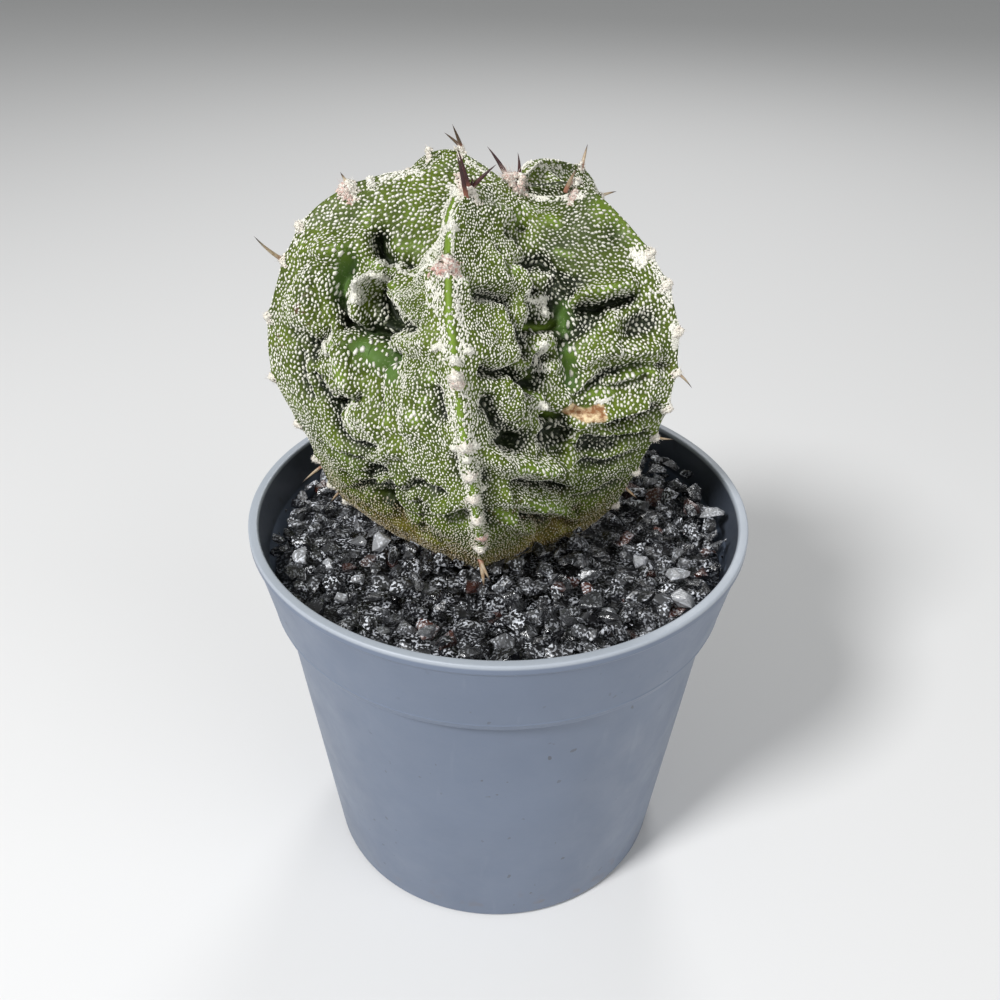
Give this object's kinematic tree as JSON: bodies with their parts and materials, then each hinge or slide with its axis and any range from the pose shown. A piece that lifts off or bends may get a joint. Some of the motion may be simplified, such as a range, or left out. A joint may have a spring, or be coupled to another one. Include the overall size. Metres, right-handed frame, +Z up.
{
  "type": "potted bishop's cap cactus",
  "caption": "Globe cactus with sharp ribs, knobbly folded flanks and woolly areoles, standing in black grit in a thin grey plastic nursery pot with a deep collar.",
  "frame": {"origin": "centre of the pot's foot, on the surface it stands on", "axes": "+Z up, -Y towards the viewer of the picture, +X to that viewer's right"},
  "size_m": [0.085, 0.085, 0.1335],
  "materials": {
    "pot_plastic": "satin blue-grey injection-moulded plastic",
    "potting_soil": "dark gritty potting mix",
    "black_grit": "angular black stones with glittering faces",
    "cactus_skin": "green waxy skin under white woolly flecks",
    "areole_wool": "white to pinkish felted wool",
    "spine": "dark brown horny spines with paler feet"
  },
  "bodies": {
    "root": {"pot": "pot_plastic", "potting_soil": "potting_soil", "grit": "black_grit", "cactus": "cactus_skin"}
  },
  "joints": []
}
